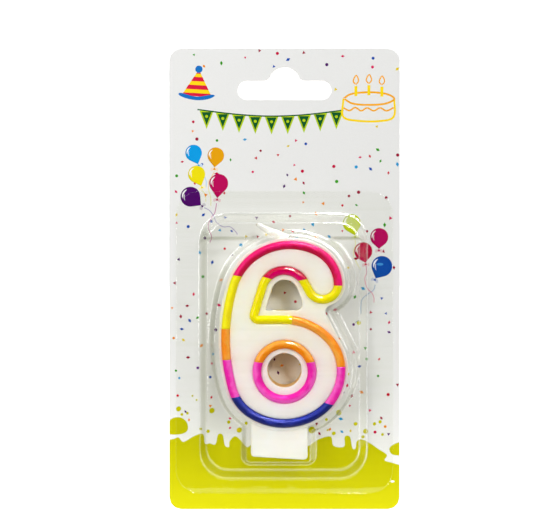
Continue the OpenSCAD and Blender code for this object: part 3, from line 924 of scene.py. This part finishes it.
def confetti():
    """Small lozenges, dots and triangles at random, clear of the drawings in the card's head."""
    inks = [
        srgb(196, 6, 34), srgb(206, 8, 84), srgb(24, 74, 168), srgb(40, 150, 205), srgb(222, 198, 0),
        srgb(60, 150, 30), srgb(228, 136, 10), srgb(74, 16, 96), srgb(190, 10, 60), srgb(150, 16, 50),
    ]
    taken = []
    while len(taken) < CONFETTI_TRIES:
        x, y = rng.uniform(-38.4, 38.4), rng.uniform(-54, 77.4)
        if any(math.hypot(x - a, y - b) < CONFETTI_APART for a, b in taken):
            continue
        taken.append((x, y))
        size, turn, kind = rng.uniform(0.40, 0.62), rng.uniform(0, 180), rng.random()
        ink = rng.choice(inks)
        on_bunting, on_cake = abs(x) < 30 and 48 < y < 59, x > 18 and 52 < y < 71
        on_hat, near_slot = x < -22 and 60 < y < 72, abs(x) < 17 and abs(y - 65) < 7
        if on_bunting or on_cake or on_hat or near_slot:
            continue
        if kind < 0.45:
            paint(disc(x, y, size * 1.45, size * 0.9, 4, turn), ink)
        elif kind < 0.75:
            paint(disc(x, y, size, size, 8, turn), ink)
        else:
            paint(disc(x, y, size * 1.2, size * 1.2, 3, turn), ink)


splash()
strings()
confetti()
for x, y, half, tip, ink in (
    (-30.8, 42.7, 2.8, (-29.3, 38.9), srgb(2, 152, 222)),
    (-23.3, 41.8, 2.8, (-23.7, 37.8), srgb(226, 158, 4)),
    (-29.8, 35.5, 2.9, (-28.2, 31.5), srgb(234, 218, 6)),
    (-31.9, 27.9, 3.35, (-28.3, 25.0), srgb(74, 2, 98)),
    (-22.3, 32.4, 3.2, (-22.8, 27.4), srgb(182, 3, 84)),
    (22.8, 18.9, 3.05, (23.8, 14.8), srgb(190, 206, 20)),
    (32.1, 14.2, 3.05, (32.0, 10.2), srgb(178, 3, 88)),
    (33.0, 4.3, 3.5, (30.9, 0.2), srgb(12, 72, 162)),
):
    balloon(x, y, half, tip, ink)
paint(disc(32.4, 5.0, 1.1, 0.45, 20), srgb(60, 140, 205))
balloon(26.7, 9.4, 3.05, (27.4, 5.5), srgb(182, 4, 58))
bunting()
party_hat()
cake()


def slot_outline():
    """The hanging slot: a band with round ends and a hump on top, with fillets at the hump's foot."""
    band = (SLOT_W - SLOT_H) / 2
    foot_y = SLOT_H / 2 + SLOT_FILLET
    reach = HUMP_R + SLOT_FILLET
    foot_x = math.sqrt(reach ** 2 - (foot_y - HUMP_UP) ** 2)
    tilt = math.degrees(math.atan2(foot_y - HUMP_UP, foot_x))
    arcs = [
        (band, 0, SLOT_H / 2, -90, 90), (foot_x, foot_y, SLOT_FILLET, -90, tilt - 180),
        (0, HUMP_UP, HUMP_R, tilt, 180 - tilt),
        (-foot_x, foot_y, SLOT_FILLET, -tilt, -90), (-band, 0, SLOT_H / 2, 90, 270),
    ]
    found = []
    for x, y, r, a, b in arcs:
        n = max(6, round(abs(math.radians(b - a)) * r / 0.5))
        found += [np.array([x, y + SLOT_UP]) + r * ahead(a + (b - a) * k / n) for k in range(n + 1)]
    return np.array(found)


def triangles(outlines):
    """Points, and each triangle inside the first outline but not the second, with its uppermost outline."""
    points, faces = [], []
    for outline in outlines:
        (x, y), (next_x, next_y) = outline.T, np.roll(outline, -1, axis=0).T
        ring = outline if np.dot(x, next_y) > np.dot(y, next_x) else outline[::-1]
        faces.append(list(range(len(points), len(points) + len(ring))))
        points += [Vector(p) for p in ring]
    flat, _, tris, _, _, origin = delaunay_2d_cdt(points, [], faces, 1, 1e-4)
    kept = [(t, max(o)) for t, o in zip(tris, origin) if 0 in o and 1 not in o]
    return np.array([(v.x, v.y) for v in flat]), kept


def card_board():
    """The board: its front cut into the printed areas, the slot's walls, the edges and the back."""
    outline = rounded_loop((-CARD_W / 2, -CARD_H / 2, CARD_W / 2, CARD_H / 2), CARD_R, 3.0)
    slot = slot_outline()
    flat, kept = triangles([outline, slot] + [o for o, _ in art])
    bm = bmesh.new()
    verts = {}

    def corner(i):
        if i not in verts:
            verts[i] = bm.verts.new(place([(*flat[i], CARD_T)])[0])
        return verts[i]

    ink_layer = bm.loops.layers.float_color.new("ink")
    for tri, top in kept:
        try:
            face = bm.faces.new([corner(i) for i in tri])
        except ValueError:
            continue
        ink = art[top - 2][1] if top >= 2 else PAPER
        for loop in face.loops:
            loop[ink_layer] = (*ink, 1)
    rim = [e for e in bm.edges if e.is_boundary]
    made = bmesh.ops.extrude_edge_only(bm, edges=rim)["geom"]
    walls = [g for g in made if isinstance(g, bmesh.types.BMFace)]
    back = [g for g in made if isinstance(g, bmesh.types.BMVert)]
    for v in back:
        v.co.y = MIDDLE.y
    back_edges = [e for e in bm.edges if e.is_boundary]
    filled = bmesh.ops.triangle_fill(bm, use_beauty=True, edges=back_edges)["geom"]
    behind = [g for g in filled if isinstance(g, bmesh.types.BMFace)]
    for face in walls + behind:
        face.material_index = 1
        for loop in face.loops:
            loop[ink_layer] = (*PAPER, 1)
    bmesh.ops.recalc_face_normals(bm, faces=bm.faces)
    mesh = bpy.data.meshes.new("card_board")
    bm.to_mesh(mesh)
    bm.free()
    obj = bpy.data.objects.new("card_board", mesh)
    bpy.context.scene.collection.objects.link(obj)
    return obj


card = card_board()

# ---- Materials ----


class Nodes:
    """The node tree of the world or of a new material of that name, with short ways to add to it."""

    def __init__(self, owner, output="Material"):
        if isinstance(owner, str):
            owner = bpy.data.materials.new(owner)
        owner.use_nodes = True
        self.owner, self.tree = owner, owner.node_tree
        self.tree.nodes.clear()
        self.output = self.tree.nodes.new("ShaderNodeOutput" + output)

    def add(self, kind, inputs=None, **settings):
        node = self.tree.nodes.new("ShaderNode" + kind)
        for key, value in settings.items():
            setattr(node, key, value)
        for key, value in (inputs or {}).items():
            if isinstance(value, bpy.types.NodeSocket):
                self.tree.links.new(value, node.inputs[key])
            else:
                node.inputs[key].default_value = value
        return node

    def made(self, kind, inputs=None, **settings):
        return self.add(kind, inputs, **settings).outputs[0]

    def surface(self, shader):
        self.tree.links.new(shader, self.output.inputs["Surface"])
        return self.owner

    def principled(self, **inputs):
        named = {key.replace("_", " "): value for key, value in inputs.items()}
        return self.surface(self.made("BsdfPrincipled", named))

    def number(self, kind, a, b):
        return self.made("Math", {0: a, 1: b}, operation=kind)

    def noise(self, size, detail=3.0, scale=(1, 1, 1)):
        """Noise with features of about size millimetres."""
        where = self.add("TexCoord").outputs["Object"]
        mapped = self.made("Mapping", {"Vector": where, "Scale": scale})
        found = self.add("TexNoise", {"Vector": mapped, "Scale": 1 / (size * MM), "Detail": detail})
        return found.outputs["Fac"]

    def ramp(self, value, low, high, to_low=0.0, to_high=1.0, shape="LINEAR"):
        ends = {"Value": value, "From Min": low, "From Max": high, "To Min": to_low, "To Max": to_high}
        return self.made("MapRange", ends, interpolation_type=shape)

    def bump(self, height, distance, strength=1.0, normal=None):
        inputs = {"Height": height, "Distance": distance * MM, "Strength": strength}
        if normal is not None:
            inputs["Normal"] = normal
        return self.made("Bump", inputs)

    def mix(self, a, b, factor, blend="MIX"):
        a, b = ((*c, 1) if isinstance(c, tuple) else c for c in (a, b))
        return self.add("Mix", {6: a, 7: b, 0: factor}, data_type="RGBA", blend_type=blend).outputs[2]

    def attribute(self, name, output="Color"):
        return self.add("Attribute", attribute_name=name).outputs[output]


def bead_material(name, ink, painted_light_ink):
    """Dyed wax: a paler or deeper copy of its dye on one side as painted light, shade and reflection, clouds
    in the dye, and a duller skin on the outer beads.
    """
    n = Nodes(name)
    drift = n.number("ADD", n.attribute("painted_light_side", "Fac"), n.ramp(n.noise(3.5, 4.0), 0.3, 0.7, -0.22, 0.22))
    # painted light and shade: one side of the bead takes the paler or deeper painted copy of its dye
    colour = n.mix(painted_light_ink, ink, n.ramp(drift, 0.30, 0.66))
    colour = n.mix(colour, mixed(ink, BLACK, 0.12), n.ramp(n.noise(2.6), 0.5, 0.8, 0.0, 0.6))
    skin = n.bump(n.noise(1.6, 2.0), 0.05, 0.22)
    dull = n.ramp(n.attribute("dull", "Fac"), 0.0, 1.0, 0.0, 0.36)
    rough = n.number("ADD", n.ramp(n.noise(1.4), 0.3, 0.7, 0.05, 0.11), dull)
    return n.principled(
        Base_Color=colour, Roughness=rough, Normal=skin, IOR=1.46, Specular_IOR_Level=0.25,
        Subsurface_Weight=0.15, Subsurface_Radius=(1.0, 0.5, 0.4), Subsurface_Scale=0.8 * MM,
    )


def wax_material():
    """White wax with the dye that has run into it, painted shade on the holes' walls, faint clouds and a soft
    uneven skin.
    """
    n = Nodes("white_wax")
    clouds = n.ramp(n.noise(7.0, 4.0), 0.3, 0.7, 0.0, 0.5)
    colour = n.mix(n.attribute("dye_and_hole_shade"), srgb(250, 246, 238), clouds, "MULTIPLY")
    skin = n.bump(n.noise(9.0, 2.0), 0.25, 0.35, n.bump(n.noise(1.1, 4.0), 0.04, 0.3))
    rough = n.ramp(n.noise(3.0), 0.3, 0.7, 0.42, 0.56)
    return n.principled(
        Base_Color=colour, Roughness=rough, Normal=skin, IOR=1.43, Subsurface_Weight=0.5,
        Subsurface_Radius=(1.0, 0.8, 0.6), Subsurface_Scale=2.2 * MM,
    )


def coat_material():
    """The wick's wax: rougher and cloudier than the numeral's."""
    n = Nodes("wick_wax")
    colour = n.mix(srgb(242, 240, 228), srgb(252, 251, 246), n.ramp(n.noise(1.6, 4.0), 0.3, 0.7))
    return n.principled(
        Base_Color=colour, Roughness=0.42, Normal=n.bump(n.noise(0.5, 3.0), 0.08, 0.4), Subsurface_Weight=0.3,
        Subsurface_Radius=(1.0, 0.8, 0.6), Subsurface_Scale=1.0 * MM,
    )


def cotton_material():
    n = Nodes("cotton")
    fibre = n.noise(0.12, 4.0, (1, 1, 0.35))
    colour = n.mix(srgb(176, 164, 142), srgb(222, 212, 192), fibre)
    return n.principled(Base_Color=colour, Roughness=0.9, Normal=n.bump(fibre, 0.08, 0.8), Sheen_Weight=0.2)


def print_material():
    """Printed and varnished front of the board."""
    n = Nodes("card_print")
    fibre = n.ramp(n.noise(0.35, 5.0), 0.3, 0.7, 0.0, 0.10)
    colour = n.mix(n.attribute("ink"), srgb(225, 224, 216), fibre, "MULTIPLY")
    grain = n.bump(n.noise(0.5, 4.0), 0.02, 0.2, n.bump(n.noise(22.0, 2.0), 0.5, 0.25))
    rough = n.ramp(n.noise(5.0), 0.3, 0.7, 0.38, 0.5)
    return n.principled(Base_Color=colour, Roughness=rough, Normal=grain, Specular_IOR_Level=0.08)


def board_material():
    """Uncoated back and cut edges of the board."""
    n = Nodes("card_raw")
    fibre = n.noise(0.6, 6.0, (1, 1, 0.4))
    specks = n.ramp(n.noise(0.9, 2.0), 0.66, 0.74, 0.0, 0.35)
    colour = n.mix(n.mix(srgb(214, 210, 200), srgb(232, 229, 221), fibre), srgb(168, 160, 146), specks)
    return n.principled(Base_Color=colour, Roughness=0.85, Normal=n.bump(fibre, 0.04, 0.5))


SHEET, SHEET_STREAK = (0.998, 0.999, 0.993), (0.984, 0.987, 0.972)     # what passes through each surface
# painted shade and painted light: what passes through a wall that faces the lower left and one that faces the
# upper right
PAINTED_SHADE_WALL, PAINTED_LIGHT_WALL = (0.81, 0.815, 0.765), (0.965, 0.968, 0.945)
MILKY = (0.95, 0.95, 0.93, 1)


def film_material():
    """Clear formed film: see-through face-on, greyer on its walls, with shine and a little haze on its folds.

    Painted light and shade: the walls that face the upper right are painted clearer, shine more and are the
    only ones with the full haze; those that face the lower left are painted greyer.
    """
    n = Nodes("clear_film")
    wall, upper = n.attribute("wall", "Fac"), n.attribute("upper", "Fac")
    streaks = n.noise(0.9, 3.0, (0.02, 1, 1))
    skin = n.bump(streaks, 0.02, 0.4, n.bump(n.noise(16.0, 2.0), 0.4, 0.4))
    sheet = n.mix(SHEET, SHEET_STREAK, n.ramp(streaks, 0.40, 0.70))
    tint = n.mix(sheet, n.mix(PAINTED_SHADE_WALL, PAINTED_LIGHT_WALL, upper), n.ramp(wall, 0.25, 1.0))
    clear = n.made("BsdfTransparent", {"Color": tint})
    gloss = n.made("BsdfGlossy", {"Color": (1, 1, 1, 1), "Roughness": 0.05, "Normal": skin})
    # painted light: folds and walls that face the upper right shine and haze more
    painted_light_by_side = n.ramp(upper, 0.0, 1.0, 0.3, 1.0)
    fold = n.number("MULTIPLY", n.ramp(wall, 0.06, 0.26), n.ramp(wall, 0.34, 0.6, 1.0, 0.0))
    fold = n.number("MULTIPLY", fold, painted_light_by_side)
    facing = n.add("LayerWeight", {"Blend": 0.5, "Normal": skin}).outputs["Facing"]
    shine = n.number("MULTIPLY", n.number("POWER", facing, 4.0), n.ramp(wall, 0.05, 0.5, 0.06, 0.25))
    shine = n.number("ADD", shine, n.ramp(fold, 0.0, 1.0, 0.018, 0.16))
    haze = n.number("ADD", n.ramp(fold, 0.0, 1.0, 0.0, 0.12), n.ramp(wall, 0.86, 0.98, 0.0, 0.12))
    haze = n.number("MULTIPLY", haze, painted_light_by_side)
    body = n.made("MixShader", {0: shine, 1: clear, 2: gloss})
    return n.surface(n.made("MixShader", {0: haze, 1: body, 2: n.made("BsdfDiffuse", {"Color": MILKY})}))


# ---- Put the pieces in the frame ----

dyed = {colour: bead_material("dyed_" + colour, *inks) for colour, inks in INKS_WITH_PAINTED_LIGHT.items()}
for node, obj in bead_pieces.items():
    colour = node.rsplit("_", 1)[1]
    outer = node.startswith(("rim", "bowl", "ring_bottom"))
    point_values(obj, "dull", np.full(len(obj.data.vertices), float(outer)))
    obj.data.materials.append(dyed[colour])
    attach(obj, "candle")
    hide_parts(node)

wax.data.materials.append(wax_material())
coat.data.materials.append(coat_material())
core.data.materials.append(cotton_material())
for obj, node, slot in (
    (wax, "wax_body", "white_wax"), (coat, "wick_wax", "white_wax"), (core, "wick_core", "cotton"),
):
    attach(obj, "candle")
    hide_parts(node)

card.data.materials.append(print_material())
card.data.materials.append(board_material())
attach(card, "card")
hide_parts("backing_card")

film.data.materials.append(film_material())
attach(film, "blister")
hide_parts("blister_shell")

# ---- Floor and light ----

floor_z = MIDDLE.z - CARD_H / 2 * MM - 0.0003
floor_corners = [(-5, -0.03, floor_z), (5, -0.03, floor_z), (5, 9, floor_z), (-5, 9, floor_z)]
floor = new_object("floor", floor_corners, [(0, 1, 2, 3)], smooth=False)
n = Nodes("floor")
pale = n.mix(srgb(250, 250, 250), srgb(254, 254, 254), n.noise(60.0))
floor.data.materials.append(
    n.principled(Base_Color=pale, Roughness=0.8, Emission_Color=(1, 1, 1, 1), Emission_Strength=0.75)
)


def softbox(name, away, size, power, target=(0, 0, 0)):
    """An area light, placed and aimed in metres from the card's middle."""
    data = bpy.data.lights.new(name, "AREA")
    data.shape = "RECTANGLE"
    data.size, data.size_y = size
    data.energy = power
    obj = bpy.data.objects.new(name, data)
    bpy.context.scene.collection.objects.link(obj)
    obj.location = MIDDLE + Vector(away)
    obj.rotation_euler = (Vector(target) - Vector(away)).to_track_quat("-Z", "Y").to_euler()


softbox("key", (0.336, -0.64, 0.432), (0.16, 0.16), 3.05)
softbox("side", (0.60, -0.40, 0.02), (0.08, 0.60), 0.12)
softbox("fill", (-0.30, -0.33, 0.10), (0.12, 0.33), 1.0)
softbox("top", (0.0, 1.2, 2.2), (5.0, 5.0), 50.0, (0, 1.2, 0))

world = bpy.data.worlds.new("world")
bpy.context.scene.world = world
w = Nodes(world, "World")
direction = w.add("TexCoord").outputs["Generated"]
to_right, to_back, upward = w.add("SeparateXYZ", {0: direction}).outputs
ray = w.add("LightPath").outputs


def background(strength):
    return w.made("Background", {"Color": (1, 1, 1, 1), "Strength": strength})


def rises(value, low, high, to=1.0, start=0.0):
    return w.ramp(value, low, high, start, to, "SMOOTHSTEP")


def combined(kind, first, *others):
    for other in others:
        first = w.number(kind, first, other)
    return first


# What shines in glossy surfaces: a band up in front, a patch high on the right, a little from the right and,
# only in what lies behind the film, a small bright light overhead. Nothing shines from round the lens.
band = combined(
    "MULTIPLY", rises(upward, 0.22, 0.34), rises(upward, 0.72, 0.84, 0.0, 2.4),
    rises(to_back, -0.35, -0.2, 0.0, 1.0),
)
glare_way = Vector((0.58, 0.22, 0.72)).normalized()
to_glare = w.add("VectorMath", {0: direction, 1: glare_way}, operation="DOT_PRODUCT").outputs["Value"]
glare = rises(to_glare, 0.84, 0.95, 7.0)
beside = rises(to_right, 0.25, 0.8, 0.30)
spark = combined(
    "MULTIPLY", rises(upward, 0.58, 0.72, 90.0), rises(to_back, 0.0, 0.2, 0.0, 1.0),
    rises(to_right, 0.02, 0.08), rises(to_right, 0.32, 0.40, 0.0, 1.0),
    rises(ray["Transparent Depth"], 2.4, 2.6),
)
off_lens = rises(to_back, -0.93, -0.80)
reflected = w.number("MULTIPLY", combined("ADD", band, glare, spark, beside, 0.06), off_lens)
ambient = rises(upward, -0.5, 0.4, 0.40, 0.16)
lit = w.made("MixShader", {0: ray["Is Glossy Ray"], 1: background(ambient), 2: background(reflected)})
w.surface(w.made("MixShader", {0: ray["Is Camera Ray"], 1: lit, 2: background(1.1)}))

bpy.context.scene.view_settings.view_transform = "Standard"
bpy.context.scene.view_settings.look = "None"
